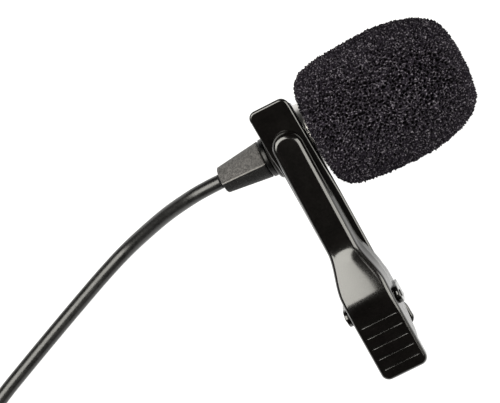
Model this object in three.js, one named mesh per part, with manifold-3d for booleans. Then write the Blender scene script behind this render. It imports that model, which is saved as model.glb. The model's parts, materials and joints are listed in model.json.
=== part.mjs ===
// Lavalier microphone: a cylinder microphone in a foam windscreen, held across a spring clip by a ring,
// with a thin cable that runs through a tapered boot to a coil and a 3.5 mm plug.
// Millimetres, +Z up. The microphone's axis lies along +X, towards the windscreen's nose, and the
// clip's long axis runs towards -Y. Lengths along the microphone start at the clip's centre plane.
import * as THREE from 'three';
import { mergeVertices } from 'three/addons/utils/BufferGeometryUtils.js';
import Module from 'manifold-3d';

const wasm = await Module();
wasm.setup();

// Gaps between pieces
const touchGap = 0.3;
const seatGap = 0.1;
const slideGap = 0.3;
const hingeGap = 0.06;

// Microphone body, radii and places along its axis
const housingR = 5.15;
const housingWall = 0.5;
const housingRear = -2.9;
const housingFront = 10.0;
const rearWall = 0.7;
const capR = 3.7;
const capRear = -3.8;
const spigotR = 2.5;
const cableR = 1.1;
const cableBoreR = cableR + seatGap;

// Strain relief
const bootRingR = 2.95;
const bootRingLong = 0.75;
const bootLargeR = 2.85;
const bootSmallR = 2.0;
const bootLong = 7.1;
const bootRidge = 0.28;
const bootRidgeTurn = 0.655 * Math.PI;

// Inside the microphone
const grilleThick = 0.6;
const grilleHoleR = 0.5;
const feltThick = 0.5;
const capsuleR = 3.0;
const capsuleLong = 4.8;
const sleeveLong = 4.0;
const boardThick = 0.6;
const crimpR = 1.9;
const crimpLong = 1.6;
const wireR = 0.3;

// Foam windscreen
const foamR = 9.6;
const foamRear = 3.8;
const foamLong = 23.1;
const foamPocket = 6.8;

// Clip, in its own frame: z is 0 on the carrier jaw's upper face, y is 0 over the microphone's axis
const clipTilt = THREE.MathUtils.degToRad(29.7);
const plateThick = 0.5;
const leverThick = 0.5;
const carrierTipY = 8.65;
const carrierTailY = -30.3;
const carrierTipHalf = 2.95;
const carrierHalf = 3.45;
const carrierLeftHalf = 2.75;
const neckFromY = 1.5;
const neckToY = -2.0;
const carrierRim = 1.5;
const rimEndY = -5.6;
const pivotY = -24.5;
const pivotZ = 2.2;
const pinR = 0.6;
const earHalf = 4.4;
const earThick = 0.6;
const earR = 1.35;
const leverTipY = 4.2;
const tongueHalf = 2.4;
const rampStartY = -14.8;
const rampEndY = -22.9;
const padEndY = -35.1;
const padHalf = 3.58;
const tongueTipTop = 1.0;
const rampStartTop = 2.3;
const padTop = 4.9;
const padEndTop = 4.6;
const grooveCount = 5;
const groovePitch = 1.8;
const grooveWide = 0.7;
const grooveDeep = 0.28;
const wireSpringR = 0.22;
const springTurns = 3.5;
const ringHalf = 2.0;
const ringThick = 0.5;
const ringGapDeg = 70;
const washerThick = 0.35;
const washerR = 1.9;
const rivetR = 0.8;
const rivetHeadR = 1.3;
const rivetHeadHigh = 0.3;

// The microphone's axis below the carrier's upper face
const ringR = housingR + seatGap;
const axisDrop = plateThick + washerThick + 2 * seatGap + ringThick + ringR;

// Cable, coil and plug
const coilMeanR = 12;
const coilHalf = 4.5;
const coilX = -68.5;
const coilY = -41.4;
const tieWide = 5;
const tieThick = 0.6;
const plugY = -58;
const plugBootX = -51.7;
const plugBootLong = 10;
const plugBootSmallR = 1.9;
const plugBootLargeR = 2.8;
const plugBodyR = 4.0;
const plugBodyLong = 17;
const plugR = 1.75;
const plugPinLong = 14;

const part = new THREE.Group();
const mic = new THREE.Group();
const clip = new THREE.Group();
const cord = new THREE.Group();
part.add(mic, clip, cord);

const paints = {
  foam: { color: 0x24222a, roughness: 1.0, metalness: 0.0 },
  satin: { color: 0x8d8c88, roughness: 0.35, metalness: 1.0 },
  grey: { color: 0x6d6c6a, roughness: 0.4, metalness: 1.0 },
  mesh: { color: 0x3a3a3c, roughness: 0.5, metalness: 0.8 },
  felt: { color: 0x2c2c2c, roughness: 1.0, metalness: 0.0 },
  can: { color: 0xb9bab8, roughness: 0.3, metalness: 1.0 },
  board: { color: 0x1f5a33, roughness: 0.6, metalness: 0.0 },
  red: { color: 0x9a1c1c, roughness: 0.5, metalness: 0.0 },
  white: { color: 0xd8d6d0, roughness: 0.5, metalness: 0.0 },
  rubber: { color: 0x2a2a2b, roughness: 0.8, metalness: 0.0 },
  jacket: { color: 0x141415, roughness: 0.45, metalness: 0.0 },
  black: { color: 0x0d0d0e, roughness: 0.18, metalness: 0.6 },
  steel: { color: 0xa9a8a4, roughness: 0.3, metalness: 1.0 },
  plug: { color: 0xc9c7c0, roughness: 0.2, metalness: 1.0 },
  insulator: { color: 0x101011, roughness: 0.4, metalness: 0.0 },
};

// Merges a geometry's shared corners, drops empty triangles and turns its faces outwards
function closed(geometry) {
  const bare = geometry.clone();
  bare.deleteAttribute('normal');
  bare.deleteAttribute('uv');
  const merged = mergeVertices(bare, 1e-4);
  const at = merged.attributes.position;
  const corners = [0, 1, 2].map(() => new THREE.Vector3());
  const kept = [];
  let volume = 0;
  for (let i = 0; i < merged.index.count; i += 3) {
    const ids = [0, 1, 2].map((j) => merged.index.getX(i + j));
    if (new Set(ids).size < 3) continue;
    ids.forEach((id, j) => corners[j].fromBufferAttribute(at, id));
    volume += corners[0].dot(corners[1].clone().cross(corners[2])) / 6;
    kept.push(ids);
  }
  if (volume < 0) kept.forEach((ids) => ids.reverse());
  merged.setIndex(kept.flat());
  return merged;
}

function solid(geometry) {
  const shape = closed(geometry);
  const vertProperties = new Float32Array(shape.attributes.position.array);
  const triVerts = new Uint32Array(shape.index.array);
  return new wasm.Manifold(new wasm.Mesh({ numProp: 3, vertProperties, triVerts }));
}

function geometryOf(body) {
  const found = body.getMesh();
  const geometry = new THREE.BufferGeometry();
  geometry.setAttribute('position', new THREE.BufferAttribute(new Float32Array(found.vertProperties), 3));
  geometry.setIndex(new THREE.BufferAttribute(new Uint32Array(found.triVerts), 1));
  return geometry;
}

function add(group, name, geometry, paint) {
  const shape = closed(geometry);
  shape.computeVertexNormals();
  const mesh = new THREE.Mesh(shape, new THREE.MeshStandardMaterial(paints[paint]));
  mesh.name = name;
  group.add(mesh);
  return mesh;
}

// A turned solid about the X axis from [place along the axis, radius] pairs that close on themselves
function turned(profile, segments = 32) {
  const points = profile.map(([x, r]) => new THREE.Vector2(r, x));
  points.push(points[0].clone());
  const geometry = new THREE.LatheGeometry(points, segments);
  return geometry.rotateZ(-Math.PI / 2);
}

function ring(fromX, toX, innerR, outerR, segments = 32) {
  return turned([[fromX, innerR], [fromX, outerR], [toX, outerR], [toX, innerR]], segments);
}

function disc(fromX, toX, r, segments = 32) {
  return turned([[fromX, 0], [fromX, r], [toX, r], [toX, 0]], segments);
}

// An outline of [y, z] pairs drawn out along X, centred
function drawnAcross(outline, width) {
  const shape = new THREE.Shape(outline.map(([y, z]) => new THREE.Vector2(y, z)));
  const geometry = new THREE.ExtrudeGeometry(shape, { depth: width, bevelEnabled: false });
  geometry.translate(0, 0, -width / 2);
  const turn = new THREE.Matrix4();
  turn.makeBasis(new THREE.Vector3(0, 1, 0), new THREE.Vector3(0, 0, 1), new THREE.Vector3(1, 0, 0));
  return geometry.applyMatrix4(turn);
}

// A plan shape raised along Z
function raised(shape, fromZ, toZ, curveSegments = 8) {
  const settings = { depth: toZ - fromZ, bevelEnabled: false, curveSegments };
  return new THREE.ExtrudeGeometry(shape, settings).translate(0, 0, fromZ);
}

// A round rod along X
function rodX(fromX, toX, r, y, z, segments = 16) {
  return disc(fromX, toX, r, segments).translate(0, y, z);
}

// A round rod along Z
function rodZ(fromZ, toZ, r, segments = 20) {
  const geometry = new THREE.CylinderGeometry(r, r, toZ - fromZ, segments);
  return geometry.rotateX(Math.PI / 2).translate(0, 0, (fromZ + toZ) / 2);
}

function box(fromX, toX, fromY, toY, fromZ, toZ) {
  const geometry = new THREE.BoxGeometry(toX - fromX, toY - fromY, toZ - fromZ);
  return geometry.translate((fromX + toX) / 2, (fromY + toY) / 2, (fromZ + toZ) / 2);
}

function tube(curve, r, steps, sides = 8) {
  const section = new THREE.Shape();
  for (let i = 0; i < sides; i += 1) {
    const turn = (i / sides) * 2 * Math.PI;
    const put = i ? 'lineTo' : 'moveTo';
    section[put](r * Math.cos(turn), r * Math.sin(turn));
  }
  section.closePath();
  return new THREE.ExtrudeGeometry(section, { steps, extrudePath: curve, bevelEnabled: false });
}

// Microphone body

function housing() {
  const chamfer = 0.5;
  const innerR = housingR - housingWall;
  const holeR = spigotR + seatGap;
  return turned([
    [housingRear, holeR], [housingRear, housingR - chamfer], [housingRear + chamfer, housingR],
    [housingFront, housingR], [housingFront, innerR], [housingRear + rearWall, innerR],
    [housingRear + rearWall, holeR],
  ], 40);
}

function rearCap() {
  const round = 0.35;
  const collarEnd = housingRear - seatGap;
  const spigotEnd = housingRear + rearWall + 1.0;
  return turned([
    [capRear, cableBoreR], [capRear, capR - round], [capRear + round * 0.3, capR - round * 0.3],
    [capRear + round, capR], [collarEnd, capR], [collarEnd, spigotR],
    [spigotEnd, spigotR], [spigotEnd, cableBoreR],
  ]);
}

const skirtRear = housingFront - 1.0;

function grilleCap() {
  const skirtR = housingR - housingWall - seatGap;
  const front = housingFront + seatGap + grilleThick;
  let cap = solid(turned([
    [skirtRear, skirtR - 0.4], [skirtRear, skirtR], [housingFront + seatGap, skirtR],
    [housingFront + seatGap, housingR], [front - 0.2, housingR], [front, housingR - 0.2],
    [front, 0], [housingFront + seatGap, 0], [housingFront + seatGap, skirtR - 0.4],
  ]));
  const holes = [[0, 0]];
  for (let i = 0; i < 6; i += 1) holes.push([1.7, (i * Math.PI) / 3]);
  for (let i = 0; i < 12; i += 1) holes.push([3.3, (i * Math.PI) / 6 + 0.26]);
  for (const [r, turn] of holes) {
    const drill = rodX(housingFront - 0.5, front + 0.5, grilleHoleR, r * Math.cos(turn), r * Math.sin(turn), 8);
    cap = cap.subtract(solid(drill));
  }
  return geometryOf(cap);
}

const feltFront = skirtRear - seatGap;
const capsuleFront = feltFront - feltThick - seatGap;
const capsuleRear = capsuleFront - capsuleLong;
const boardFront = capsuleRear - seatGap;
const boardRear = boardFront - boardThick;
const crimpFront = housingRear + rearWall + 1.0 + seatGap + crimpLong;
const cableEnd = crimpFront + 0.5;

function capsule() {
  const portR = 0.9;
  return turned([
    [capsuleRear, 0], [capsuleRear, capsuleR - 0.15], [capsuleRear + 0.15, capsuleR],
    [capsuleFront - 0.3, capsuleR], [capsuleFront, capsuleR - 0.3], [capsuleFront, portR],
    [capsuleFront - 0.5, portR], [capsuleFront - 0.5, 0],
  ]);
}

function leadWire(side) {
  const rear = cableEnd + touchGap;
  const front = boardRear - touchGap;
  const middle = (rear + front) / 2;
  return tube(new THREE.CatmullRomCurve3([
    new THREE.Vector3(rear, side * 0.45, 0),
    new THREE.Vector3(middle, side * 1.3, 0.3),
    new THREE.Vector3(front, side * 1.5, 0),
  ]), wireR, 12, 6);
}

add(mic, 'mic_housing', housing(), 'satin');
add(mic, 'rear_cap', rearCap(), 'grey');
add(mic, 'grille_cap', grilleCap(), 'mesh');
add(mic, 'grille_felt', disc(feltFront - feltThick, feltFront, housingR - housingWall - seatGap), 'felt');
add(mic, 'electret_capsule', capsule(), 'can');
add(mic, 'capsule_sleeve', ring(
  capsuleFront - 0.4 - sleeveLong, capsuleFront - 0.4, capsuleR + seatGap, housingR - housingWall - seatGap,
), 'rubber');
add(mic, 'capsule_board', disc(boardRear, boardFront, capsuleR - 0.15), 'board');
add(mic, 'lead_wire_signal', leadWire(1), 'red');
add(mic, 'lead_wire_ground', leadWire(-1), 'white');
add(mic, 'cable_crimp', ring(crimpFront - crimpLong, crimpFront, cableBoreR, crimpR), 'can');

// Strain relief, with the raised parting line that runs down each side

const bootRingFront = capRear - seatGap;
const bootFront = bootRingFront - bootRingLong - seatGap;
const bootRear = bootFront - bootLong;

function cableBoot() {
  const round = 0.3;
  const body = solid(turned([
    [bootRear, cableBoreR], [bootRear, bootSmallR - round], [bootRear + round, bootSmallR],
    [bootFront - round, bootLargeR], [bootFront, bootLargeR - round], [bootFront, cableBoreR],
  ]));
  const keep = cableBoreR + 0.2;
  const line = new THREE.Shape([
    new THREE.Vector2(bootRear, keep), new THREE.Vector2(bootFront, keep),
    new THREE.Vector2(bootFront, bootLargeR + bootRidge), new THREE.Vector2(bootRear, bootSmallR + bootRidge),
  ]);
  const rib = new THREE.ExtrudeGeometry(line, { depth: 0.4, bevelEnabled: false }).translate(0, 0, -0.2);
  const upper = solid(rib.clone().rotateX(bootRidgeTurn));
  const lower = solid(rib.clone().rotateX(bootRidgeTurn + Math.PI));
  return geometryOf(body.add(upper).add(lower));
}

add(mic, 'boot_ring', ring(bootRingFront - bootRingLong, bootRingFront, cableBoreR, bootRingR), 'satin');
add(mic, 'cable_boot', cableBoot(), 'rubber');
add(mic, 'cable_inner_end', disc(bootRear + seatGap, cableEnd, cableR, 16), 'jacket');

// Foam windscreen, a dome with a pocket for the microphone

function windscreen() {
  const pocketR = housingR + slideGap;
  const pocketEnd = foamRear + foamPocket + slideGap;
  const outline = new THREE.SplineCurve([
    [0, foamR - 3.0], [0.45, foamR - 1.9], [1.8, foamR - 0.8], [5.0, foamR - 0.2], [11.2, foamR],
    [foamLong - 8.7, foamR - 0.1], [foamLong - 5.1, foamR - 0.7], [foamLong - 2.2, foamR - 2.1],
    [foamLong - 0.6, foamR - 4.1], [foamLong, foamR - 7.4],
  ].map(([x, r]) => new THREE.Vector2(foamRear + x, r)));
  const outer = outline.getPoints(24).map((p) => [p.x, p.y]);
  return turned([
    [foamRear, pocketR], ...outer, [foamRear + foamLong, 0], [pocketEnd, 0], [pocketEnd, pocketR],
  ], 40);
}

add(mic, 'foam_windscreen', windscreen(), 'foam');

// Clip: carrier jaw

function panPlan(inset) {
  const tip = carrierTipHalf - inset;
  const wide = carrierHalf - inset;
  const left = carrierLeftHalf - inset;
  const ear = earHalf - inset;
  const corner = 0.7;
  const near = pivotY + earR;
  const far = pivotY - earR;
  const shape = new THREE.Shape();
  shape.moveTo(-tip + corner, carrierTipY - inset);
  shape.lineTo(tip - corner, carrierTipY - inset);
  shape.quadraticCurveTo(tip, carrierTipY - inset, tip, carrierTipY - inset - corner);
  shape.lineTo(wide, rimEndY);
  shape.lineTo(wide, near);
  shape.lineTo(ear, near);
  shape.lineTo(ear, far);
  shape.lineTo(wide, far);
  shape.lineTo(wide, carrierTailY + inset + corner);
  shape.quadraticCurveTo(wide, carrierTailY + inset, wide - corner, carrierTailY + inset);
  shape.lineTo(-left + corner, carrierTailY + inset);
  shape.quadraticCurveTo(-left, carrierTailY + inset, -left, carrierTailY + inset + corner);
  shape.lineTo(-left, far);
  shape.lineTo(-ear, far);
  shape.lineTo(-ear, near);
  shape.lineTo(-left, near);
  shape.lineTo(-left, neckToY);
  shape.lineTo(-tip, neckFromY);
  shape.lineTo(-tip, carrierTipY - inset - corner);
  shape.quadraticCurveTo(-tip, carrierTipY - inset, -tip + corner, carrierTipY - inset);
  return shape;
}

// The rim is folded down round the tip, flared on the right, and runs out past the microphone
function rim() {
  const flare = carrierHalf - carrierTipHalf;
  const corner = 0.9;
  const outline = (left, right, tipY, cornerR) => {
    const shape = new THREE.Shape();
    shape.moveTo(-left, neckFromY);
    shape.lineTo(-left, tipY - cornerR);
    shape.quadraticCurveTo(-left, tipY, -left + cornerR, tipY);
    shape.lineTo(right - cornerR, tipY);
    shape.quadraticCurveTo(right, tipY, right, tipY - cornerR);
    shape.lineTo(right, rimEndY);
    shape.lineTo(0, rimEndY);
    shape.lineTo(0, neckFromY);
    shape.closePath();
    return shape;
  };
  const tipY = carrierTipY + flare;
  const outer = solid(raised(outline(carrierTipHalf, carrierHalf, tipY, corner), -carrierRim, -plateThick / 2));
  const innerPlan = outline(carrierTipHalf - plateThick, carrierHalf - plateThick, tipY - plateThick, corner / 2);
  const inner = solid(raised(innerPlan, -carrierRim - 1, 1)).add(
    solid(box(-carrierTipHalf + plateThick, carrierHalf - plateThick, rimEndY - 1, rimEndY + 2, -carrierRim - 1, 1)),
  ).add(solid(box(-carrierTipHalf + plateThick, 1, neckFromY - 1, neckFromY + 1, -carrierRim - 1, 1)));
  const under = solid(drawnAcross([
    [rimEndY, -plateThick], [carrierTipY + 1, -carrierRim - 0.02], [carrierTipY + 1, -carrierRim - 2],
    [rimEndY - 1, -carrierRim - 2], [rimEndY - 1, -plateThick],
  ], 2 * earHalf));
  return outer.subtract(inner).subtract(under);
}

function ear(side) {
  const outline = [[pivotY + earR, -plateThick / 2]];
  for (let i = 0; i <= 8; i += 1) {
    const turn = (i / 8) * Math.PI;
    outline.push([pivotY + earR * Math.cos(turn), pivotZ + earR * Math.sin(turn)]);
  }
  outline.push([pivotY - earR, -plateThick / 2]);
  const middle = side * (earHalf - earThick / 2);
  return solid(drawnAcross(outline, earThick).translate(middle, 0, 0));
}

function carrierJaw() {
  let body = solid(raised(panPlan(0), -plateThick, 0));
  body = body.add(rim()).add(ear(1)).add(ear(-1));
  body = body.subtract(solid(rodX(-earHalf - 1, earHalf + 1, pinR + 0.03, pivotY, pivotZ)));
  body = body.subtract(solid(rodZ(-plateThick - 1, 1, rivetR + seatGap)));
  return geometryOf(body);
}

// Clip: lever jaw, a channel with a long tongue, a ramp over the spring and a grooved finger pad

function leverPlan(inset) {
  const tongue = tongueHalf - inset;
  const pad = padHalf - inset;
  const corner = 1.2;
  const end = padEndY + inset;
  const shape = new THREE.Shape();
  shape.absarc(0, leverTipY - tongueHalf, tongue, 0, Math.PI, false);
  shape.lineTo(-tongue, rampStartY);
  shape.bezierCurveTo(-tongue, rampStartY - 2.5, -pad, rampStartY - 4, -pad, rampStartY - 6.5);
  shape.lineTo(-pad, end + corner);
  shape.quadraticCurveTo(-pad, end, -pad + corner, end);
  shape.lineTo(pad - corner, end);
  shape.quadraticCurveTo(pad, end, pad, end + corner);
  shape.lineTo(pad, rampStartY - 6.5);
  shape.bezierCurveTo(pad, rampStartY - 4, tongue, rampStartY - 2.5, tongue, rampStartY);
  shape.closePath();
  return shape;
}

const leverTop = [
  [leverTipY + 1, tongueTipTop - 0.25], [leverTipY - 1.2, tongueTipTop], [rampStartY, rampStartTop],
  [rampEndY, padTop], [padEndY + 0.6, padEndTop], [padEndY - 1, padEndTop - 1.0],
];

function leverSide(drop) {
  const foot = touchGap;
  const bottom = [
    [padEndY - 1, pivotZ + 1.0], [pivotY - 6.7, pivotZ + 1.0], [pivotY - 6.7, pivotZ + 0.7],
    [pivotY - 1.7, pivotZ - 1.2], [pivotY - 1.0, pivotZ - 1.55], [pivotY + 0.6, pivotZ - 1.6],
    [pivotY + 5, foot], [leverTipY + 1, foot],
  ];
  return leverTop.map(([y, z]) => [y, z - drop]).concat(bottom);
}

function leverJaw() {
  const outer = solid(raised(leverPlan(0), -1, 8)).intersect(solid(drawnAcross(leverSide(0), 10)));
  const innerTop = leverTop.map(([y, z]) => [y, z - leverThick]);
  const innerSide = innerTop.concat([[padEndY - 1, -2], [leverTipY + 1, -2]]);
  const inner = solid(raised(leverPlan(leverThick), -3, 8)).intersect(solid(drawnAcross(innerSide, 10)));
  let body = outer.subtract(inner);
  body = body.subtract(solid(rodX(-padHalf - 1, padHalf + 1, pinR + hingeGap, pivotY, pivotZ)));
  const slope = Math.atan2(padEndTop - padTop, padEndY + 0.6 - rampEndY);
  for (let i = 0; i < grooveCount; i += 1) {
    const y = padEndY + 1.9 + i * groovePitch;
    const z = padTop + Math.tan(slope) * (y - rampEndY);
    const r = grooveWide / 2;
    const groove = new THREE.CylinderGeometry(r, r, 2 * (padHalf - 0.45), 10).rotateZ(Math.PI / 2);
    body = body.subtract(solid(groove.scale(1, 1, grooveDeep / r).translate(0, y, z)));
  }
  return geometryOf(body);
}

function pivotPin() {
  const face = earHalf + 0.05;
  const dome = 0.4;
  const shaft = [];
  for (let i = 0; i <= 4; i += 1) {
    const turn = (i / 4) * (Math.PI / 2);
    shaft.push([face + dome * Math.cos(turn), pinR * Math.sin(turn)]);
  }
  const rear = shaft.map(([x, r]) => [-x, r]);
  return turned([...rear, ...shaft.reverse()], 16).translate(0, pivotY, pivotZ);
}

function torsionSpring() {
  const coilR = pinR + 0.25 + wireSpringR;
  const pitch = wireSpringR * 2 + 0.12;
  const start = (-springTurns * pitch) / 2;
  const points = [
    new THREE.Vector3(start, pivotY - 5.4, wireSpringR + 0.12),
    new THREE.Vector3(start, pivotY - 3.2, wireSpringR + 0.35),
  ];
  const steps = Math.round(springTurns * 8);
  for (let i = 0; i <= steps; i += 1) {
    const turn = -Math.PI / 2 + (i / steps) * springTurns * 2 * Math.PI;
    const x = start + (i / steps) * springTurns * pitch;
    points.push(new THREE.Vector3(x, pivotY + coilR * Math.cos(turn), pivotZ + coilR * Math.sin(turn)));
  }
  points.push(new THREE.Vector3(-start, pivotY - 3.2, pivotZ + 1.45));
  points.push(new THREE.Vector3(-start, pivotY - 5.4, pivotZ + 1.55));
  return tube(new THREE.CatmullRomCurve3(points, false, 'centripetal'), wireSpringR, 78, 6);
}

// Band that grips the microphone, open underneath, held to the carrier by a rivet and a washer

function holderRing() {
  const open = THREE.MathUtils.degToRad(ringGapDeg / 2);
  const from = -Math.PI / 2 + open;
  const to = (3 * Math.PI) / 2 - open;
  const shape = new THREE.Shape();
  shape.absarc(0, 0, ringR + ringThick, from, to, false);
  shape.absarc(0, 0, ringR, to, from, true);
  shape.closePath();
  const settings = { depth: 2 * ringHalf, bevelEnabled: false, curveSegments: 36 };
  const band = new THREE.ExtrudeGeometry(shape, settings).translate(0, 0, -ringHalf);
  const turn = new THREE.Matrix4();
  turn.makeBasis(new THREE.Vector3(0, 1, 0), new THREE.Vector3(0, 0, 1), new THREE.Vector3(1, 0, 0));
  const hole = rodZ(-axisDrop, 1, rivetR + seatGap);
  return geometryOf(solid(band.applyMatrix4(turn).translate(0, 0, -axisDrop)).subtract(solid(hole)));
}

function washer() {
  const top = -plateThick - seatGap;
  const body = solid(rodZ(top - washerThick, top, washerR));
  const bandTop = ringR + ringThick + seatGap;
  const round = disc(-3, 3, bandTop, 72).translate(0, 0, -axisDrop);
  const bore = rodZ(top - 1, top + 1, rivetR + seatGap);
  return geometryOf(body.subtract(solid(round)).subtract(solid(bore)));
}

function rivet() {
  const foot = -axisDrop + ringR + seatGap;
  const head = rodZ(seatGap, seatGap + rivetHeadHigh, rivetHeadR);
  const shank = rodZ(foot, seatGap + 0.1, rivetR);
  return geometryOf(solid(head).add(solid(shank)));
}

add(clip, 'clip_carrier_jaw', carrierJaw(), 'black');
add(clip, 'clip_lever_jaw', leverJaw(), 'black');
add(clip, 'pivot_pin', pivotPin(), 'black');
add(clip, 'torsion_spring', torsionSpring(), 'steel');
add(clip, 'holder_ring', holderRing(), 'black');
add(clip, 'holder_washer', washer(), 'steel');
add(clip, 'holder_rivet', rivet(), 'steel');
clip.children.forEach((mesh) => mesh.geometry.translate(0, 0, axisDrop));
clip.rotation.x = clipTilt;

// Cable, coil and plug, on the surface that the windscreen rests on

const floorZ = -foamR;
const lowZ = floorZ + cableR + 0.05;
const coilLow = floorZ + 0.05 + tieThick + slideGap;

function cableRun() {
  const points = [
    [bootRear - touchGap, 0, 0], [-14.5, 0.05, -0.25], [-17.2, 0.1, -1.0], [-21.8, 0.15, -3.4],
    [-26.6, -0.22, -6.0], [-31.0, -0.95, -7.9], [-35.5, -2.5, lowZ], [-40.6, -4.7, lowZ],
    [-46.0, -7.1, lowZ], [-51.5, -9.6, lowZ], [-57.0, -12.2, lowZ], [-62.6, -15.3, lowZ],
    [-68.3, -19.2, lowZ], [-73.9, -24.5, lowZ],
  ];
  return tube(new THREE.CatmullRomCurve3(points.map((p) => new THREE.Vector3(...p))), cableR, 26);
}

function cableTail() {
  const plugZ = floorZ + plugBodyR + 0.05;
  const points = [
    [-59.6, plugY + 1.0, plugZ - 0.6], [-55.5, plugY + 0.2, plugZ - 0.15], [plugBootX - touchGap, plugY, plugZ],
  ];
  return tube(new THREE.CatmullRomCurve3(points.map((p) => new THREE.Vector3(...p))), cableR, 4);
}

function coil() {
  const round = 1.2;
  const inner = coilMeanR - coilHalf;
  const outer = coilMeanR + coilHalf;
  const points = [
    [inner + round, 0], [outer - round, 0], [outer, round], [outer, 2 * coilHalf - round],
    [outer - round, 2 * coilHalf], [inner + round, 2 * coilHalf], [inner, 2 * coilHalf - round],
    [inner, round], [inner + round, 0],
  ].map(([r, z]) => new THREE.Vector2(r, z));
  const geometry = new THREE.LatheGeometry(points, 40).rotateX(Math.PI / 2);
  return geometry.translate(coilX, coilY, coilLow);
}

// A strap right round the bundle, at the coil's side nearest the plug
function coilTie() {
  const at = coilX + coilMeanR;
  const half = coilHalf + slideGap;
  const bend = coilMeanR - coilHalf - Math.sqrt((coilMeanR - coilHalf) ** 2 - (tieWide / 2) ** 2);
  const near = at - half - bend;
  const far = at + half;
  const low = coilLow - slideGap;
  const high = coilLow + 2 * coilHalf + slideGap;
  const outer = box(near - tieThick, far + tieThick, coilY - tieWide / 2, coilY + tieWide / 2,
    low - tieThick, high + tieThick);
  const inner = box(near, far, coilY - tieWide, coilY + tieWide, low, high);
  return geometryOf(solid(outer).subtract(solid(inner)));
}

function plugPieces() {
  const bodyX = plugBootX + plugBootLong + seatGap;
  const pinX = bodyX + plugBodyLong + seatGap;
  const round = 0.5;
  const boot = turned([
    [plugBootX, 0], [plugBootX, plugBootSmallR], [plugBootX + plugBootLong, plugBootLargeR],
    [plugBootX + plugBootLong, 0],
  ]);
  const body = turned([
    [bodyX, 0], [bodyX, plugBodyR - round], [bodyX + round, plugBodyR],
    [bodyX + plugBodyLong - round, plugBodyR], [bodyX + plugBodyLong, plugBodyR - round],
    [bodyX + plugBodyLong, 0],
  ]);
  const sleeveEnd = pinX + 6.6;
  const ringStart = sleeveEnd + 0.8;
  const ringEnd = ringStart + 1.6;
  const tipStart = ringEnd + 0.8;
  const tipEnd = pinX + plugPinLong;
  const tip = turned([
    [tipStart + seatGap, 0], [tipStart + seatGap, plugR], [tipStart + 1.2, plugR], [tipStart + 1.8, 1.15],
    [tipStart + 2.9, plugR - 0.1], [tipEnd - 0.9, 1.0], [tipEnd - 0.2, 0.5], [tipEnd, 0],
  ], 20);
  return [
    ['plug_boot', boot, 'rubber'],
    ['plug_body', body, 'jacket'],
    ['plug_sleeve_contact', disc(pinX, sleeveEnd, plugR, 20), 'plug'],
    ['plug_rear_insulator', disc(sleeveEnd + seatGap, ringStart, plugR, 20), 'insulator'],
    ['plug_ring_contact', disc(ringStart + seatGap, ringEnd, plugR, 20), 'plug'],
    ['plug_front_insulator', disc(ringEnd + seatGap, tipStart, plugR, 20), 'insulator'],
    ['plug_tip_contact', tip, 'plug'],
  ];
}

add(cord, 'cable', cableRun(), 'jacket');
add(cord, 'cable_plug_end', cableTail(), 'jacket');
add(cord, 'cable_coil', coil(), 'jacket');
add(cord, 'coil_tie', coilTie(), 'rubber');
for (const [name, geometry, paint] of plugPieces()) {
  add(cord, name, geometry.translate(0, plugY, floorZ + plugBodyR + 0.05), paint);
}

// The origin is under the middle of the microphone and its clip, on the surface they lie on
part.updateMatrixWorld(true);
const held = new THREE.Box3().expandByObject(mic, true).union(new THREE.Box3().expandByObject(clip, true));
const middle = held.getCenter(new THREE.Vector3());
part.position.set(-middle.x, -middle.y, -held.min.z);
part.updateMatrixWorld(true);

export default part;
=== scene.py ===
# Lavalier microphone: finished surfaces, cable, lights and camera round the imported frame
import json
import math

import bmesh
import bpy
from mathutils import Matrix, Vector, noise


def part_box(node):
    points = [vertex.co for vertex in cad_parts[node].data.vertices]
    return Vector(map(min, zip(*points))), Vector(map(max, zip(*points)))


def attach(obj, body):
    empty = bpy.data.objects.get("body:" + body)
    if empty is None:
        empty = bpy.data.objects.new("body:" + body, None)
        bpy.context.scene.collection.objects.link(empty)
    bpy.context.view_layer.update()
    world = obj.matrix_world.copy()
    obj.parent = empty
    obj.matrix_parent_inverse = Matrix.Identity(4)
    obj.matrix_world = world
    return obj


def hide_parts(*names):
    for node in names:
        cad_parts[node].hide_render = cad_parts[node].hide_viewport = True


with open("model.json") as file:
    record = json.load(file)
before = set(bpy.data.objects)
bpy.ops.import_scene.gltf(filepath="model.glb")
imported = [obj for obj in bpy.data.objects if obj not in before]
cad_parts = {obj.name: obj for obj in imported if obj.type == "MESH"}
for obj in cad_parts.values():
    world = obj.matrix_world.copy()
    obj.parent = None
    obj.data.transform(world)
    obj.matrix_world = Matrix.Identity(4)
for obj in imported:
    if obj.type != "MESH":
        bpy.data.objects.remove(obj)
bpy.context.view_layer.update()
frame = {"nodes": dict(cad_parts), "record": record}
nodes = frame["nodes"]
mm = 0.001

# The microphone's axis and the clip's own frame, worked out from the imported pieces
housingLow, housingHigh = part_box("mic_housing")
pinLow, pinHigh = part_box("pivot_pin")
axisY = (housingLow.y + housingHigh.y) / 2
axisZ = (housingLow.z + housingHigh.z) / 2
clipX = (pinLow.x + pinHigh.x) / 2
micAxis = Vector((clipX, axisY, axisZ))

clipSet = {
    "tilt": 29.7,            # degrees that the clip leans down from level
    "drop": 6.8,             # from the carrier's upper face to the microphone's axis
}
tilt = math.radians(clipSet["tilt"])
clipFrame = (
    Matrix.Translation(micAxis)
    @ Matrix.Rotation(tilt, 4, "X")
    @ Matrix.Translation((0, 0, clipSet["drop"] * mm))
)


def onClip(x, y, z):
    return clipFrame @ Vector((x * mm, y * mm, z * mm))


def onMic(x, y, z):
    return micAxis + Vector((x * mm, y * mm, z * mm))


def inScene(name, data):
    thing = bpy.data.objects.new(name, data)
    bpy.context.scene.collection.objects.link(thing)
    return thing


def clipDirection(side, lean):
    # Degrees from the clip's normal, towards the windscreen and towards the jaws' tips
    side, lean = math.radians(side), math.radians(lean)
    local = Vector((math.sin(side), math.cos(side) * math.sin(lean), math.cos(side) * math.cos(lean)))
    return (Matrix.Rotation(tilt, 3, "X") @ local).normalized()


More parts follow.
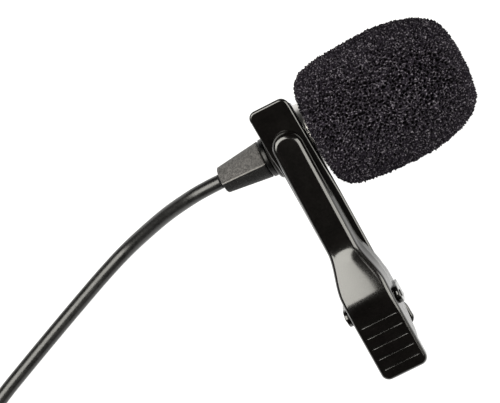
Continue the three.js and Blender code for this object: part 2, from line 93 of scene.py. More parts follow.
def facing(right, up, toward, place):
    return Matrix((
        (right.x, up.x, toward.x, place.x),
        (right.y, up.y, toward.y, place.y),
        (right.z, up.z, toward.z, place.z),
        (0, 0, 0, 1),
    ))


# Camera
cameraSet = {
    "side": 9.0,             # degrees from the clip's normal towards the windscreen
    "lean": 15.5,            # degrees from the clip's normal towards the jaws' tips
    "roll": 26.7,            # how steeply the microphone's axis climbs to the right
    "distance": 0.50,
    "sensor": 36,
    "nearest": 0.01,
    "viewWide": 0.0725,      # width of the view at the microphone
    "across": -6.46,         # view centre from the clip's middle, to the right and up
    "along": -8.32,
}


def placeCamera():
    roll = math.radians(cameraSet["roll"])
    toward = clipDirection(cameraSet["side"], cameraSet["lean"])
    axis = Vector((1, 0, 0))
    flatAxis = (axis - axis.dot(toward) * toward).normalized()
    flatUp = toward.cross(flatAxis)
    right = math.cos(roll) * flatAxis - math.sin(roll) * flatUp
    up = math.sin(roll) * flatAxis + math.cos(roll) * flatUp
    target = micAxis + right * cameraSet["across"] * mm + up * cameraSet["along"] * mm
    place = target + toward * cameraSet["distance"]
    camera = inScene("camera", bpy.data.cameras.new("camera"))
    camera.data.sensor_fit = "HORIZONTAL"
    camera.data.sensor_width = cameraSet["sensor"]
    camera.data.lens = cameraSet["sensor"] * cameraSet["distance"] / cameraSet["viewWide"]
    camera.data.clip_start = cameraSet["nearest"]
    camera.matrix_world = facing(right, up, toward, place)
    bpy.context.scene.camera = camera


placeCamera()
print("camera placed")


# Shader groups

def addSockets(tree, direction, wanted):
    for kind, name, value in wanted:
        socket = tree.interface.new_socket(name=name, in_out=direction, socket_type="NodeSocket" + kind)
        if value is not None:
            socket.default_value = value


def linkAll(tree, pairs):
    for source, output, target, entry in pairs:
        tree.links.new(source.outputs[output], target.inputs[entry])


def mixColours(tree):
    node = tree.nodes.new("ShaderNodeMix")
    node.data_type = "RGBA"
    return node


def makeGrainGroup():
    # Two scales of noise that vary a colour, a roughness and a height
    tree = bpy.data.node_groups.new("surfaceGrain", "ShaderNodeTree")
    addSockets(tree, "INPUT", [
        ("Float", "Fine scale", 4000.0), ("Float", "Broad scale", 300.0),
        ("Color", "Dark", (0.02, 0.02, 0.02, 1)), ("Color", "Light", (0.03, 0.03, 0.03, 1)),
        ("Float", "Rough low", 0.3), ("Float", "Rough high", 0.4),
    ])
    addSockets(tree, "OUTPUT", [
        ("Color", "Colour", None), ("Float", "Roughness", None), ("Float", "Height", None),
    ])
    inside = tree.nodes.new("NodeGroupInput")
    outside = tree.nodes.new("NodeGroupOutput")
    place = tree.nodes.new("ShaderNodeTexCoord")
    fine = tree.nodes.new("ShaderNodeTexNoise")
    broad = tree.nodes.new("ShaderNodeTexNoise")
    fine.inputs["Detail"].default_value = 2.0
    broad.inputs["Detail"].default_value = 3.0
    both = tree.nodes.new("ShaderNodeMath")
    both.operation = "MULTIPLY_ADD"
    both.inputs[1].default_value = 0.45
    half = tree.nodes.new("ShaderNodeMath")
    half.operation = "MULTIPLY"
    half.inputs[1].default_value = 0.55
    spread = tree.nodes.new("ShaderNodeMapRange")
    spread.inputs["From Min"].default_value = 0.35
    spread.inputs["From Max"].default_value = 0.65
    colour = mixColours(tree)
    rough = tree.nodes.new("ShaderNodeMapRange")
    linkAll(tree, [
        (place, "Object", fine, "Vector"), (place, "Object", broad, "Vector"),
        (inside, "Fine scale", fine, "Scale"), (inside, "Broad scale", broad, "Scale"),
        (broad, "Fac", half, 0), (fine, "Fac", both, 0), (half, 0, both, 2), (both, 0, spread, "Value"),
        (spread, "Result", colour, "Factor"), (inside, "Dark", colour, "A"),
        (inside, "Light", colour, "B"), (spread, "Result", rough, "Value"),
        (inside, "Rough low", rough, "To Min"), (inside, "Rough high", rough, "To Max"),
        (colour, "Result", outside, "Colour"), (rough, "Result", outside, "Roughness"),
        (fine, "Fac", outside, "Height"),
    ])
    return tree


grainGroup = makeGrainGroup()


def plainMaterial(name):
    material = bpy.data.materials.new(name)
    material.use_nodes = True
    return material, material.node_tree, material.node_tree.nodes["Principled BSDF"]


def grainMaterial(name, dark, light, rough, fine=4000, broad=300, bump=0.1, depth=0.00002, **shader):
    material, tree, body = plainMaterial(name)
    grain = tree.nodes.new("ShaderNodeGroup")
    grain.node_tree = grainGroup
    grain.inputs["Fine scale"].default_value = fine
    grain.inputs["Broad scale"].default_value = broad
    grain.inputs["Dark"].default_value = (*dark, 1)
    grain.inputs["Light"].default_value = (*light, 1)
    grain.inputs["Rough low"].default_value = rough[0]
    grain.inputs["Rough high"].default_value = rough[1]
    bumpNode = tree.nodes.new("ShaderNodeBump")
    bumpNode.inputs["Strength"].default_value = bump
    bumpNode.inputs["Distance"].default_value = depth
    linkAll(tree, [
        (grain, "Colour", body, "Base Color"), (grain, "Roughness", body, "Roughness"),
        (grain, "Height", bumpNode, "Height"), (bumpNode, "Normal", body, "Normal"),
    ])
    for socket, value in shader.items():
        body.inputs[socket.replace("_", " ")].default_value = value
    return material


def grey(value):
    return (value, value, value)


finish = {
    "satin_metal": grainMaterial("satinMetal", (0.46, 0.45, 0.44), (0.60, 0.59, 0.57), (0.28, 0.38),
                                 fine=9000, broad=500, bump=0.15, Metallic=1.0),
    "grey_metal": grainMaterial("greyMetal", (0.018, 0.0175, 0.017), (0.040, 0.039, 0.038), (0.30, 0.42),
                                Metallic=1.0),
    "grille": grainMaterial("grilleBlack", grey(0.015), grey(0.03), (0.4, 0.5), Metallic=0.6),
    "felt": grainMaterial("feltDark", grey(0.02), grey(0.05), (0.9, 1.0), fine=6000, bump=0.6),
    "can": grainMaterial("drawnCan", grey(0.62), grey(0.72), (0.2, 0.3), Metallic=1.0),
    "boot_rubber": grainMaterial("bootRubber", (0.034, 0.033, 0.033), (0.100, 0.096, 0.095),
                                 (0.42, 0.60), fine=5200, broad=2600, bump=1.0, depth=0.00022,
                                 Specular_IOR_Level=0.20),
    "board": grainMaterial("boardGreen", (0.02, 0.12, 0.05), (0.03, 0.18, 0.08), (0.35, 0.5)),
    "wire_red": grainMaterial("wireRed", (0.40, 0.02, 0.02), (0.48, 0.03, 0.03), (0.35, 0.45)),
    "wire_white": grainMaterial("wireWhite", (0.65, 0.64, 0.60), (0.75, 0.74, 0.70), (0.35, 0.45)),
    "cable_jacket": grainMaterial("cableJacket", grey(0.003), grey(0.007), (0.26, 0.34), fine=2500,
                                  broad=700, bump=0.3, depth=0.00003),
    "tie": grainMaterial("tieBlack", grey(0.015), grey(0.03), (0.45, 0.6)),
    "plug_rubber": grainMaterial("plugRubber", grey(0.015), grey(0.028), (0.55, 0.7), bump=0.3),
    "plug_shell": grainMaterial("plugShell", grey(0.012), grey(0.02), (0.28, 0.38)),
    "plug_metal": grainMaterial("plugMetal", (0.72, 0.70, 0.66), (0.80, 0.79, 0.76), (0.12, 0.2),
                                Metallic=1.0),
    "insulator": grainMaterial("insulatorBlack", grey(0.01), grey(0.02), (0.3, 0.4)),
    "black_gloss": grainMaterial("blackGloss", (0.0009, 0.0007, 0.0006), (0.0020, 0.0016, 0.0014),
                                 (0.20, 0.26), fine=2600, broad=420, bump=0.16, depth=0.00002,
                                 Coat_Weight=1.0, Coat_Roughness=0.14, Specular_IOR_Level=0.15),
    "spring_steel": grainMaterial("springSteel", (0.50, 0.49, 0.47), (0.60, 0.59, 0.57), (0.22, 0.32),
                                  Metallic=1.0),
}

for entry in frame["record"]["subparts"]:
    node = nodes[entry["node"]]
    if entry["material_slot"] in finish:
        for holder in node.material_slots:
            holder.material = finish[entry["material_slot"]]
print("finishes made")


def slotOf(nodeName):
    return next(e["material_slot"] for e in frame["record"]["subparts"] if e["node"] == nodeName)


def newObject(name, mesh, slot, material, body, *replaced):
    thing = inScene(name, mesh)
    if material:
        thing.data.materials.append(material)
    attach(thing, body)
    if replaced:
        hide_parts(*replaced)
    return thing


def meshOf(name, points, faces, smooth=True):
    mesh = bpy.data.meshes.new(name)
    mesh.from_pydata([tuple(p) for p in points], [], faces)
    mesh.validate()
    mesh.polygons.foreach_set("use_smooth", [smooth] * len(mesh.polygons))
    mesh.update()
    return mesh


def smoothStep(t):
    t = min(max(t, 0), 1)
    return t * t * (3 - 2 * t)


def tubeCurve(name, line, radius, resolution):
    data = bpy.data.curves.new(name, "CURVE")
    data.dimensions = "3D"
    data.bevel_depth = radius * mm
    data.bevel_resolution = resolution
    data.use_fill_caps = True
    spline = data.splines.new("POLY")
    spline.points.add(len(line) - 1)
    for point, place in zip(spline.points, line):
        point.co = (*place, 1)
    spline.use_smooth = True
    return data


def ringFaces(rows, count):
    # Four-sided faces between rows of points, each row closed on itself
    faces = []
    for i in range(rows):
        for k in range(count):
            j = (k + 1) % count
            faces.append((i * count + k, i * count + j, (i + 1) * count + j, (i + 1) * count + k))
    return faces


# Cable: run, coil and tail on one line
cableSet = {
    "width": 2.2,
    "coilMiddle": (-68.5, -41.4),   # from the clip's middle
    "coilMean": 12.0,
    "middleColumn": 1.5,     # of the four columns, counted from 0
    "coilLow": 0.95,         # the coil's underside over the surface
    "pitch": 2.267,
    "enter": 138.0,          # degrees round the coil where the run joins it
    "leave": 270.0,
    "step": 200.0,           # where each turn steps to the next place
    "stepWide": 34.0,
    "turnPoints": 36,
    "plugY": -58.0,
}
cableRoute = [
    (-12.15, 0, 0), (-14.5, 0.05, -0.25), (-17.2, 0.1, -1.0), (-21.8, 0.15, -3.4), (-26.6, -0.22, -6.0),
    (-31.0, -0.95, -7.9), (-35.5, -2.5, -8.45), (-40.6, -4.7, -8.45), (-46.0, -7.1, -8.45),
    (-51.5, -9.6, -8.45), (-57.0, -12.2, -8.45), (-62.6, -15.3, -8.45), (-68.3, -19.2, -8.45),
    (-73.9, -24.5, -8.45),
]
tailRoute = [(-59.6, -57.0, -6.15), (-55.5, -57.8, -5.7), (-51.9, -58.0, -5.55)]


def splineThrough(points, perSpan):
    # Catmull-Rom through the points, in the microphone's frame
    full = [2 * points[0] - points[1], *points, 2 * points[-1] - points[-2]]
    line = []
    for i in range(1, len(full) - 2):
        a, b, c, d = full[i - 1:i + 3]
        for k in range(perSpan):
            t = k / perSpan
            line.append(0.5 * (2 * b + (c - a) * t + (2 * a - 5 * b + 4 * c - d) * t * t
                               + (3 * b - a - 3 * c + d) * t ** 3))
    line.append(points[-1])
    return line


def coilTurns():
    places = [(3, 0), (2, 0), (1, 0), (0, 0), (0, 1), (1, 1), (2, 1), (2, 2), (1, 2), (0, 2),
              (0, 3), (1, 3), (2, 3), (3, 3), (3, 2), (3, 1)]
    total = cableSet["leave"] - cableSet["enter"] + 360 * (len(places) - 2)
    middleX, middleY = cableSet["coilMiddle"]
    floor = -axisZ / mm
    first = cableSet["step"] - cableSet["enter"]
    steps = int(total / 360 * cableSet["turnPoints"])
    points = []
    for i in range(steps + 1):
        gone = total * i / steps
        turn = (gone - first) / 360
        at = math.floor(turn + 0.5)
        part = (turn - at) * 360 / cableSet["stepWide"]
        ease = smoothStep(part + 0.5)
        here = min(max(at, 0), len(places) - 2)
        if at < 0:
            ease = 0
        a, b = places[here], places[here + 1]
        column = a[0] + (b[0] - a[0]) * ease
        layer = a[1] + (b[1] - a[1]) * ease
        r = cableSet["coilMean"] + (column - cableSet["middleColumn"]) * cableSet["pitch"]
        z = floor + cableSet["coilLow"] + cableSet["width"] / 2 + layer * cableSet["pitch"]
        angle = math.radians(cableSet["enter"] + gone)
        points.append(Vector((middleX + r * math.cos(angle), middleY + r * math.sin(angle), z)))
    return points


def makeCable():
    turns = coilTurns()
    run = splineThrough([Vector(p) for p in cableRoute] + [turns[0]], 4)
    tail = splineThrough([turns[-1]] + [Vector(p) for p in tailRoute], 4)
    line = [micAxis + p * mm for p in run + turns[1:] + tail[1:]]
    data = tubeCurve("cableCord", line, cableSet["width"] / 2, 8)
    cable = newObject("cableCord", data, "cable_jacket", finish["cable_jacket"], "microphone",
                      "cable", "cable_coil", "cable_plug_end")
    onCord = [softPieces[n] for n in ("coil_tie", "plug_boot", "plug_body", "gripRibs")]
    onCord += [nodes[n] for n in ("plug_sleeve_contact", "plug_rear_insulator", "plug_ring_contact",
                                  "plug_front_insulator", "plug_tip_contact")]


# Turned pieces

def turnedMesh(name, profile, segments=96, soft=0.12):
    # A closed profile of (along, radius) in mm about the microphone's axis, its corners rounded a little
    loop = []
    count = len(profile)
    for i, (x, r) in enumerate(profile):
        before, after = profile[i - 1], profile[(i + 1) % count]
        here = Vector((x, r))
        toBefore = Vector(before) - here
        toAfter = Vector(after) - here
        cut = min(soft, 0.4 * toBefore.length, 0.4 * toAfter.length)
        a = here + toBefore.normalized() * cut
        b = here + toAfter.normalized() * cut
        for k in range(4):
            t = k / 3
            loop.append((1 - t) ** 2 * a + 2 * t * (1 - t) * here + t * t * b)
    points = []
    for s in range(segments):
        turn = 2 * math.pi * s / segments
        for p in loop:
            points.append(onMic(p.x, p.y * math.cos(turn), p.y * math.sin(turn)))
    wide = len(loop)
    faces = []
    for s in range(segments):
        after = (s + 1) % segments
        for i in range(wide):
            j = (i + 1) % wide
            faces.append((s * wide + i, after * wide + i, after * wide + j, s * wide + j))
    return outward(meshOf(name, points, faces))


def outward(mesh):
    shape = bmesh.new()
    shape.from_mesh(mesh)
    bmesh.ops.remove_doubles(shape, verts=shape.verts, dist=1e-7)
    bmesh.ops.recalc_face_normals(shape, faces=shape.faces)
    shape.to_mesh(mesh)
    shape.free()
    mesh.update()
    return mesh


bodySet = {"radius": 5.15, "wall": 0.5, "rear": -2.9, "front": 10.0, "rearHole": 2.6}
capSet = {"radius": 3.7, "rear": -3.8, "front": -3.0, "bore": 1.25, "spigot": 2.5, "spigotEnd": -1.2}
ringSet = {"radius": 2.95, "rear": -4.65, "front": -3.9, "bore": 1.25}


def makeBody():
    b, c, g = bodySet, capSet, ringSet
    darkRing = grainMaterial("darkRing", grey(0.016), grey(0.035), (0.30, 0.42), Metallic=1.0)
    inner = b["radius"] - b["wall"]
    housing = turnedMesh("bodyTube", [
        (b["rear"], b["rearHole"]), (b["rear"], b["radius"] - 0.5), (b["rear"] + 0.5, b["radius"]),
        (b["front"], b["radius"]), (b["front"], inner), (b["rear"] + 0.7, inner),
        (b["rear"] + 0.7, b["rearHole"]),
    ], 160)
    newObject("bodyTube", housing, "satin_metal", finish["satin_metal"], "microphone", "mic_housing")
    cap = turnedMesh("rearCollar", [
        (c["rear"], c["bore"]), (c["rear"], c["radius"] - 0.3), (c["rear"] + 0.3, c["radius"]),
        (c["front"], c["radius"]), (c["front"], c["spigot"]), (c["spigotEnd"], c["spigot"]),
        (c["spigotEnd"], c["bore"]),
    ], 128, 0.2)
    newObject("rearCollar", cap, "grey_metal", finish["grey_metal"], "microphone", "rear_cap")
    ring = turnedMesh("bootRing", [
        (g["rear"], g["bore"]), (g["rear"], g["radius"]), (g["front"], g["radius"]),
        (g["front"], g["bore"]),
    ], 128, 0.2)
    newObject("bootRing", ring, "satin_metal", darkRing, "microphone", "boot_ring")


bootSet = {
    "rear": -11.85, "front": -4.75, "small": 2.0, "large": 2.85, "bore": 1.2,
    "ridge": 0.3, "ridgeWide": 0.352, "ridgeTurn": 117.9, "round": 0.22,
    "below": 0.12, "belowTurn": 60,          # the half below the line is a little thinner near it
    # the pale colour along the parting line is a painted highlight on the ridge
    "lineWide": 0.12, "paintedRidgeHighlight": (0.34, 0.33, 0.32),
    # the lit half runs between these turns; the other half gets a painted shade colour
    "paleFrom": 18, "paleTo": 208, "paleFade": 6, "paintedShadeColour": (0.0012, 0.0012, 0.0012),
}


def bootMaterial():
    # The half below the parting line is painted darker as painted shade; the lit half keeps the rubber's
    # grain colours
    material = finish["boot_rubber"].copy()
    material.name = "bootPaintedShade"
    tree = material.node_tree
    body = tree.nodes["Principled BSDF"]
    half = tree.nodes.new("ShaderNodeAttribute")
    half.attribute_name = "paintedLitHalf"
    shade = mixColours(tree)
    shade.inputs["A"].default_value = (*bootSet["paintedShadeColour"], 1)
    tree.links.new(half.outputs["Fac"], shade.inputs["Factor"])
    tree.links.new(body.inputs["Base Color"].links[0].from_socket, shade.inputs["B"])
    # a thin pale line along the parting ridge, painted as a highlight
    line = tree.nodes.new("ShaderNodeAttribute")
    line.attribute_name = "partingLine"
    paintedRidgeHighlight = mixColours(tree)
    paintedRidgeHighlight.inputs["B"].default_value = (*bootSet["paintedRidgeHighlight"], 1)
    linkAll(tree, [
        (line, "Fac", paintedRidgeHighlight, "Factor"), (shade, "Result", paintedRidgeHighlight, "A"),
        (paintedRidgeHighlight, "Result", body, "Base Color"),
    ])
    return material


def makeBoot():
    s = bootSet
    segments, rows = 180, 40
    points, halves, lines = [], [], []
    for i in range(rows + 1):
        t = i / rows
        x = s["rear"] + (s["front"] - s["rear"]) * t
        r = s["small"] + (s["large"] - s["small"]) * t
        edge = min(x - s["rear"], s["front"] - x)
        if edge < s["round"]:
            r -= s["round"] - math.sqrt(max(s["round"] ** 2 - (s["round"] - edge) ** 2, 0))
        for k in range(segments):
            turn = 2 * math.pi * k / segments
            off = (math.degrees(turn) - s["ridgeTurn"] + 90) % 180 - 90
            away = math.radians(abs(off)) * r
            rise = s["ridge"] * max(0, 1 - away / s["ridgeWide"]) ** 1.4
            if off > 0:
                rise -= s["below"] * (1 - smoothStep(off / s["belowTurn"]))
            lines.append(max(0, 1 - away / s["lineWide"]))
            # share of the lit half at this point; the rest gets the painted shade
            pale = -off if s["paleFrom"] < math.degrees(turn) < s["paleTo"] else off
            halves.append(smoothStep(0.5 + pale / s["paleFade"]))
            points.append(onMic(x, (r + rise) * math.cos(turn), (r + rise) * math.sin(turn)))
    faces = ringFaces(rows, segments)
    ends = []
    for x in (s["rear"], s["front"]):
        ends.append(len(points))
        for k in range(segments):
            turn = 2 * math.pi * k / segments
            points.append(onMic(x, s["bore"] * math.cos(turn), s["bore"] * math.sin(turn)))
    for k in range(segments):
        j = (k + 1) % segments
        last = rows * segments
        faces.append((ends[0] + k, ends[0] + j, j, k))
        faces.append((last + k, last + j, ends[1] + j, ends[1] + k))
        faces.append((ends[1] + k, ends[1] + j, ends[0] + j, ends[0] + k))
    mesh = meshOf("taperedBoot", points, faces)
    half = mesh.attributes.new("paintedLitHalf", "FLOAT", "POINT")
    half.data.foreach_set("value", halves + [0.0] * (len(points) - len(halves)))
    line = mesh.attributes.new("partingLine", "FLOAT", "POINT")
    line.data.foreach_set("value", lines + [0.0] * (len(points) - len(lines)))
    mesh = outward(mesh)
    newObject("taperedBoot", mesh, "boot_rubber", bootMaterial(), "microphone", "cable_boot")


makeBody()
makeBoot()
print("body and boot turned")


# Pressed jaws. A pressing is an outline with a crown height, rounded bends and a leaning rim

pressSet = {
    "weld": 0.003, "sliver": 0.002, "rimGap": 0.004,     # points and edges nearer than this are joined
    "levelEnd": 0.01,        # an end run is level within this
    "leastBend": 0.04, "leastWall": 0.03,
}


def sideColumns(outline, side, top, rimFoot, rimLean, settings):
    thick = settings["thick"]
    count = len(outline)
    columns = []
    for i, (x, y) in enumerate(outline):
        bend = throughMarks(y, settings["bends"], 0.4)
        before = Vector(outline[max(i - 1, 0)])
        after = Vector(outline[min(i + 1, count - 1)])
        along = (after - before).normalized()
        out = Vector((-along.y, along.x)) * side
        if i in (0, count - 1):
            out = Vector((0, 1 if i == 0 else -1))
        pair = []
        for inset, radius in ((0, bend), (thick, max(bend - thick, pressSet["leastBend"]))):
            middle = Vector((x, y)) - out * bend
            if middle.x * side < 0:
                middle.x = 0
            crown = top(middle.y)
            foot = min(rimFoot(y), crown - bend - pressSet["leastWall"])
            wall = middle + out * radius
            column = []
            for part in (1, 0.5):
                down = (crown - bend - foot) * part
                place = wall + out * rimLean(side, y) * down
                column.append((place.x, place.y, crown - bend - down))
            for k in range(settings["bendSteps"] + 1):
                turn = (k / settings["bendSteps"]) * math.pi / 2
                place = middle + out * radius * math.cos(turn)
                column.append((place.x, place.y, crown - bend + radius * math.sin(turn)))
            pair.append(column)
        columns.append(pair)
    return columns


def pressedSheet(name, right, left, top, rimFoot, rimLean, settings, relief=None):
    # right and left run from the tip to the tail, (x, y) in mm, and the heights are functions of y
    across = settings["across"]
    sides = {
        1: sideColumns(right, 1, top, rimFoot, rimLean, settings),
        -1: sideColumns(left, -1, top, rimFoot, rimLean, settings),
    }
    count = len(right)
    points, faces = [], []
    wide = settings["bendSteps"] + 3
    starts = {}
    for side, columns in sides.items():
        for shell in (0, 1):
            starts[side, shell] = len(points)
            for pair in columns:
                points += [onClip(x, y, z) for x, y, z in pair[shell]]
            for i in range(count - 1):
                for k in range(wide - 1):
                    at = starts[side, shell] + i * wide + k
                    faces.append((at, at + 1, at + wide + 1, at + wide))
        for i in range(count - 1):
            outer, inner = starts[side, 0] + i * wide, starts[side, 1] + i * wide
            faces.append((outer, outer + wide, inner + wide, inner))
    ys = [pair[0][-1][1] for pair in sides[1]]
    first = max(i for i in range(count) if abs(ys[i] - ys[0]) < pressSet["levelEnd"])
    last = min(i for i in range(count) if abs(ys[i] - ys[-1]) < pressSet["levelEnd"])
    for shell in (0, 1):
        crownStart = len(points)
        for i in range(first + 1, last):
            x0, y0, z0 = sides[1][i][shell][-1]
            x1, y1, z1 = sides[-1][i][shell][-1]
            for k in range(across + 1):
                part = k / across
                px, py, pz = x0 + (x1 - x0) * part, y0 + (y1 - y0) * part, z0 + (z1 - z0) * part
                drop = relief(px, py, abs(2 * part - 1)) if relief else 0
                points.append(onClip(px, py, pz - drop))
        rows = last - first - 1
        for i in range(rows - 1):
            for k in range(across):
                at = crownStart + i * (across + 1) + k
                faces.append((at, at + 1, at + across + 2, at + across + 1))
        # each straight end is closed with one face that follows the rim's own points
        for run, row in ((range(first, -1, -1), 0), (range(last, count), rows - 1)):
            rim = [sides[-1][i][shell][-1] for i in run]
            rim += [sides[1][i][shell][-1] for i in reversed(run)]
            start = len(points)
            kept = [p for i, p in enumerate(rim) if i == 0 or math.dist(p, rim[i - 1]) > pressSet["rimGap"]]
            points += [onClip(*p) for p in kept]
            inner = [crownStart + row * (across + 1) + k for k in range(across + 1)]
            faces.append(tuple(inner + list(range(start, start + len(kept)))))
    return points, faces


def joinedMesh(name, parts):
    points, faces = [], []
    for morePoints, moreFaces in parts:
        start = len(points)
        points += morePoints
        faces += [tuple(i + start for i in face) for face in moreFaces]
    mesh = meshOf(name, points, faces)
    shape = bmesh.new()
    shape.from_mesh(mesh)
    bmesh.ops.remove_doubles(shape, verts=shape.verts, dist=pressSet["weld"] * mm)
    bmesh.ops.dissolve_degenerate(shape, edges=shape.edges, dist=pressSet["sliver"] * mm)
    bmesh.ops.recalc_face_normals(shape, faces=shape.faces)
    openEdges = sum(1 for e in shape.edges if len(e.link_faces) != 2)
    print(name, "has", len(shape.faces), "faces and", openEdges, "open edges")
    shape.to_mesh(mesh)
    shape.free()
    return mesh


def arcPoints(middle, radius, fromTurn, toTurn, count):
    found = []
    for k in range(count + 1):
        turn = math.radians(fromTurn + (toTurn - fromTurn) * k / count)
        found.append((middle[0] + radius * math.cos(turn), middle[1] + radius * math.sin(turn)))
    return found


def linePoints(a, b, step):
    count = max(1, round(math.dist(a, b) / step))
    return [(a[0] + (b[0] - a[0]) * k / count, a[1] + (b[1] - a[1]) * k / count) for k in range(1, count)]


def throughMarks(y, marks, soften):
    # Straight stretches between (y, value) marks, eased into each other
    total = 0
    offsets = (-1, -0.6, -0.2, 0.2, 0.6, 1)
    for k in offsets:
        at = y + k * soften
        for (y0, z0), (y1, z1) in zip(marks, marks[1:]):
            if y1 <= at <= y0:
                total += z0 + (z1 - z0) * (at - y0) / (y1 - y0)
                break
        else:
            total += marks[0][1] if at > marks[0][0] else marks[-1][1]
    return total / len(offsets)


leverSet = {
    "thick": 0.40, "across": 30, "bendSteps": 8,
    "bends": [(4.2, 0.85), (-13.5, 0.85), (-17.0, 0.78), (-23.5, 0.72), (-26.0, 0.55), (-35.1, 0.55)],
    "tongueHalf": 2.3, "padHalf": 3.62, "tip": 4.2, "padEnd": -35.1, "padCorner": 1.2,
    "flareFrom": -14.6, "flareTo": -21.4,
    "heights": [(4.2, 1.35), (-14.6, 2.45), (-22.9, 4.95), (-35.1, 4.6)],
    "feet": [(4.2, 0.32), (2.0, 0.34), (-8.0, 0.75), (-13.0, 0.85), (-17.0, 0.6), (-20.5, 0.42),
             (-23.9, 0.6), (-25.4, 0.75), (-26.2, 1.1), (-30.4, 2.7), (-31.0, 3.35), (-35.1, 3.25)],
    "leanRight": [(4.2, 0.0), (3.4, 0.12), (-4.0, 0.2), (-8.0, 0.45), (-16.0, 0.45), (-20.0, 0.16),
                  (-31.0, 0.10), (-31.4, 0.0)],
    "leanLeft": [(4.2, 0.0), (3.4, 0.12), (-16.0, 0.12), (-20.0, 0.05), (-31.0, 0.02), (-31.4, 0.0)],
    "dome": 0.20, "domeEnd": -24.5, "domeEase": 2,   # how far the ramp swells across
    "soften": 1.0,           # how gently the ramp bends into the tongue and the pad
    "grooves": 5, "groovePitch": 1.8, "grooveFromEnd": 1.9, "grooveWide": 0.15, "grooveDeep": 0.046,
    "grooveMiddle": 0.78, "grooveMore": 0.22,        # shares of the depth: in the middle, more at the ends
    "grooveStop": 0.965, "grooveFade": 0.035,        # where a groove runs out, of the half width
}


def leverHalf(y):
    s = leverSet
    t = (s["flareFrom"] - y) / (s["flareFrom"] - s["flareTo"])
    return s["tongueHalf"] + (s["padHalf"] - s["tongueHalf"]) * smoothStep(t)


def makeLever():
    s = leverSet
    tipMiddle = (0, s["tip"] - s["tongueHalf"])
    outline = arcPoints(tipMiddle, s["tongueHalf"], 90, 0, 20)
    y = tipMiddle[1] - 0.3
    grooveTop = s["padEnd"] + s["grooveFromEnd"] + s["grooves"] * s["groovePitch"]
    while y > s["padEnd"] + s["padCorner"] + 0.05:
        outline.append((leverHalf(y), y))
        y -= 0.4 if y > -13 else (0.2 if y > grooveTop else 0.045)
    corner = (s["padHalf"] - s["padCorner"], s["padEnd"] + s["padCorner"])
    outline += arcPoints(corner, s["padCorner"], 0, -90, 12)
    outline += linePoints(outline[-1], (0, s["padEnd"]), 0.3)
    outline.append((0, s["padEnd"]))

    def relief(x, y, edge):
        ramp = smoothStep((s["flareFrom"] - y) / s["domeEase"])
        ramp *= smoothStep((y - s["domeEnd"]) / s["domeEase"])
        drop = -s["dome"] * ramp * (1 - edge * edge)
        for i in range(s["grooves"]):
            away = abs(y - s["padEnd"] - s["grooveFromEnd"] - i * s["groovePitch"]) / s["grooveWide"]
            if away < 1:
                deep = s["grooveDeep"] * (s["grooveMiddle"] + s["grooveMore"] * edge * edge)
                runOut = smoothStep((s["grooveStop"] - edge) / s["grooveFade"])
                drop += deep * math.cos(away * math.pi / 2) ** 2 * runOut
        return drop

    mirrored = [(-x, y) for x, y in outline]
    sheet = pressedSheet(
        "leverJaw", outline, mirrored,
        lambda y: throughMarks(y, s["heights"], s["soften"]),
        lambda y: throughMarks(y, s["feet"], 0.15),
        lambda side, y: throughMarks(y, s["leanRight"] if side > 0 else s["leanLeft"], 0.1),
        s, relief,
    )
    mesh = joinedMesh("leverJaw", [sheet])
    newObject("leverJaw", mesh, "black_gloss", finish["black_gloss"], "lever", "clip_lever_jaw")


def roundedPlate(outline, low, high, soft, place):
    # A flat plate with softened edges; outline is convex, place turns (u, v, depth) into a point
    count = len(outline)
    rings = []
    for depth, inset in ((low, soft), (low + soft * 0.3, soft * 0.3), (low + soft, 0),
                         (high - soft, 0), (high - soft * 0.3, soft * 0.3), (high, soft)):
        ring = []
        for i, (u, v) in enumerate(outline):
            before, after = Vector(outline[i - 1]), Vector(outline[(i + 1) % count])
            along = (after - before).normalized()
            ring.append(place(u - along.y * inset, v + along.x * inset, depth))
        rings.append(ring)
    points = [p for ring in rings for p in ring]
    faces = ringFaces(len(rings) - 1, count)
    for at in (0, (len(rings) - 1) * count):
        middle = len(points)
        total = Vector((0, 0, 0))
        for k in range(count):
            total += points[at + k]
        points.append(total / count)
        faces += [(middle, at + k, at + (k + 1) % count) for k in range(count)]
    return points, faces


carrierSet = {
    "bends": [(8.6, 0.34), (-30.3, 0.34)], "thick": 0.32, "across": 16, "bendSteps": 6,
    "tip": 8.75, "tail": -30.3, "corner": 1.15,
    "right": [(8.6, 2.98), (-2.4, 3.3), (-8.0, 3.5), (-25.9, 3.5), (-27.4, 4.05), (-30.3, 4.1)],
    "left": [(8.6, 3.14), (1.5, 3.0), (-2.0, 2.62), (-25.9, 2.62), (-27.4, 3.75), (-30.3, 3.75)],
    "feet": [(8.6, -0.42), (7.7, -0.42), (7.0, -1.5), (-8.0, -0.42), (-30.3, -0.42)],
    "leanRight": [(8.6, 0.0), (7.4, 0.02), (3.0, 0.1), (-1.0, 0.2), (-8.0, 0.0), (-30.3, 0.0)],
    "leanLeft": [(8.6, 0.0), (7.4, 0.08), (-8.0, 0.0), (-30.3, 0.0)],
    "earIn": 3.8, "earOut": 4.38, "earRadius": 1.35, "earSoft": 0.12, "earFoot": -0.4,
    "tabIn": 2.4, "tabShort": 0.03, "tabHalf": 1.3, "tabLow": -0.46, "tabHigh": 0.02, "tabSoft": 0.1,
    "pivotY": -24.5, "pivotZ": 2.2, "pinRadius": 0.6, "pinDome": 0.14,
}


def carrierSide(marks):
    s = carrierSet
    tipHalf = marks[0][1]
    corner = (tipHalf - s["corner"], s["tip"] - s["corner"])
    outline = [(corner[0] * k / 7, s["tip"]) for k in range(7)]
    outline += arcPoints(corner, s["corner"], 90, 0, 12)
    steps = 96
    first, last = outline[-1][1], s["tail"] + s["corner"]
    for k in range(1, steps):
        y = first + (last - first) * k / steps
        outline.append((throughMarks(y, marks, 0.2), y))
    tailHalf = marks[-1][1]
    tailCorner = (tailHalf - s["corner"], s["tail"] + s["corner"])
    outline += arcPoints(tailCorner, s["corner"], 0, -90, 12)
    for k in range(1, 9):
        outline.append((tailCorner[0] * (1 - k / 8), s["tail"]))
    return outline


